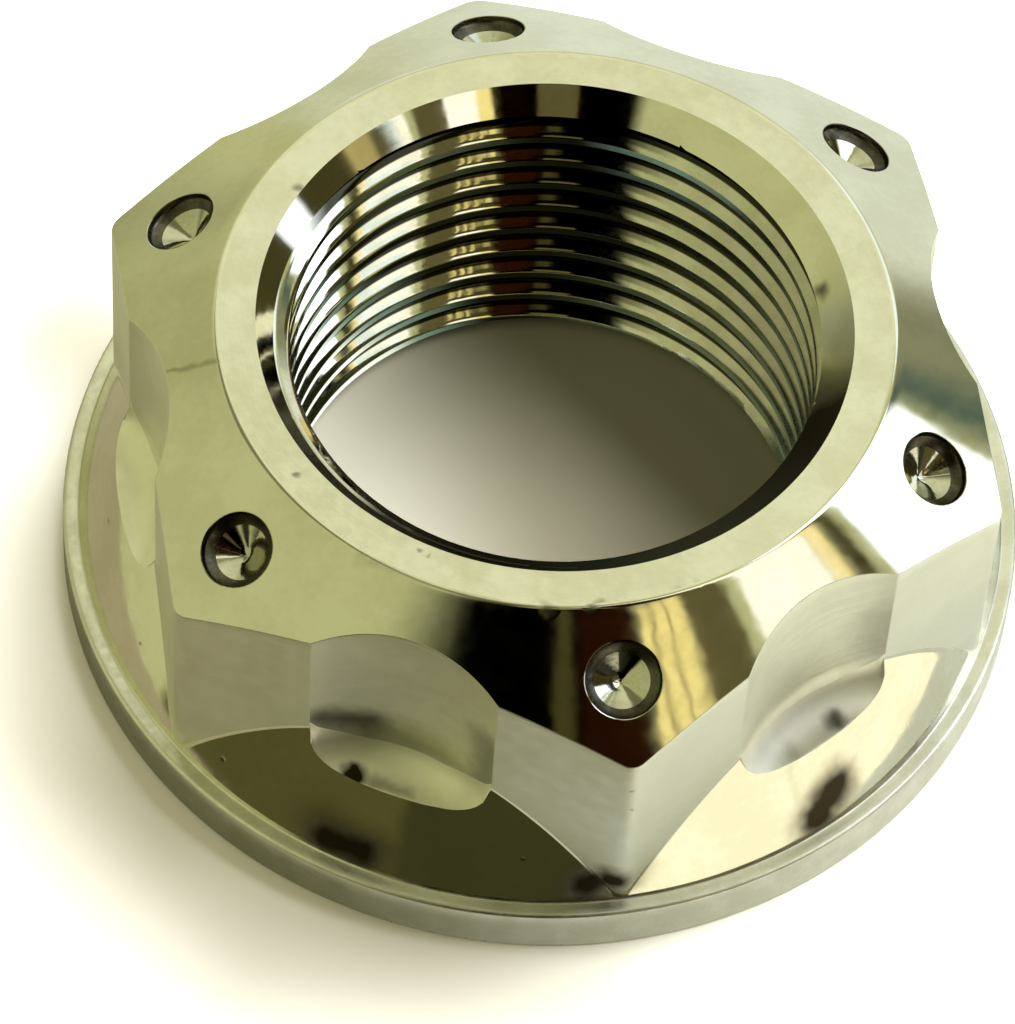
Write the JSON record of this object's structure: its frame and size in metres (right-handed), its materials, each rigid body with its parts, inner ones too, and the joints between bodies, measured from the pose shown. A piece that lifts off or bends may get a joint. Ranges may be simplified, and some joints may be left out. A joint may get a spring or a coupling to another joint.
{
  "type": "flanged hexagon lock nut",
  "caption": "Flanged hexagon lock nut with a fine threaded bore, a pocket milled in each flat and a drill mark above each corner.",
  "frame": {"origin": "centre of the thread at the flange's flat bearing face", "axes": "+Z along the thread's axis from the bearing face to the crown; two of the hexagon's flats face +X and -X, and two of its corners point to +Y and -Y"},
  "size_m": [0.0382, 0.038, 0.0148],
  "materials": {
    "plated_metal": "bright turned and milled metal with a faint warm yellow-green tint"
  },
  "bodies": {
    "root": {"lock_nut": "plated_metal"}
  },
  "joints": []
}
